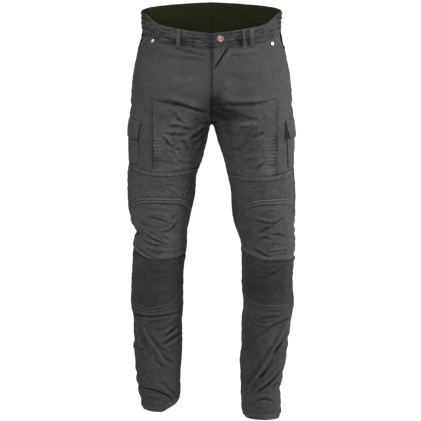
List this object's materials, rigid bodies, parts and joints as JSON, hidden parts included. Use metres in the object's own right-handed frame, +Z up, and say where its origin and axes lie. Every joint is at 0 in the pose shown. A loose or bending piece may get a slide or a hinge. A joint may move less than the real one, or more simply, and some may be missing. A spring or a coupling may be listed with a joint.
{
  "type": "cargo jeans",
  "caption": "Biker-style cargo jeans in charcoal cloth, filled out as worn, with side pockets, ribbed stretch panels and knee patches.",
  "frame": {"origin": "middle of the waist opening, level with the side tops of the waistband, where the wearer holds the garment", "axes": "+Z up to the waist, -Y out of the front, +X to the wearer's left; real size in metres"},
  "size_m": [0.4369, 0.2675, 1.0787],
  "materials": {
    "denim": "matt cotton twill, stone washed",
    "denim_lower": "matt cotton twill, darker wash",
    "denim_smooth": "smooth dark twill",
    "copper_metal": "brushed copper pink",
    "silver_metal": "polished"
  },
  "bodies": {
    "root": {"waistband": "denim", "fly": "denim", "belt_loop_back": "denim", "belt_loop_right_front": "denim", "belt_loop_left_front_inner": "denim", "belt_loop_left_front_outer": "denim", "belt_loop_right_back": "denim", "belt_loop_left_back": "denim", "front_left": "denim", "pocket_facing_left": "denim", "thigh_front_left": "denim", "thigh_side_left": "denim", "cargo_pocket_left": "denim", "cargo_flap_left": "denim", "stretch_panel_left": "denim", "knee_upper_left": "denim", "back_yoke_left": "denim", "back_seat_left": "denim", "back_thigh_left": "denim", "back_pocket_left": "denim", "front_right": "denim", "pocket_facing_right": "denim", "thigh_front_right": "denim", "thigh_side_right": "denim", "cargo_pocket_right": "denim", "cargo_flap_right": "denim", "stretch_panel_right": "denim", "knee_upper_right": "denim", "back_yoke_right": "denim", "back_seat_right": "denim", "back_thigh_right": "denim", "back_pocket_right": "denim", "shin_left": "denim_lower", "shin_right": "denim_lower", "back_calf_left": "denim_lower", "back_calf_right": "denim_lower", "knee_patch_left": "denim_smooth", "knee_patch_right": "denim_smooth", "waist_button": "copper_metal", "pocket_rivet_left": "silver_metal", "pocket_rivet_right": "silver_metal"}
  },
  "joints": []
}
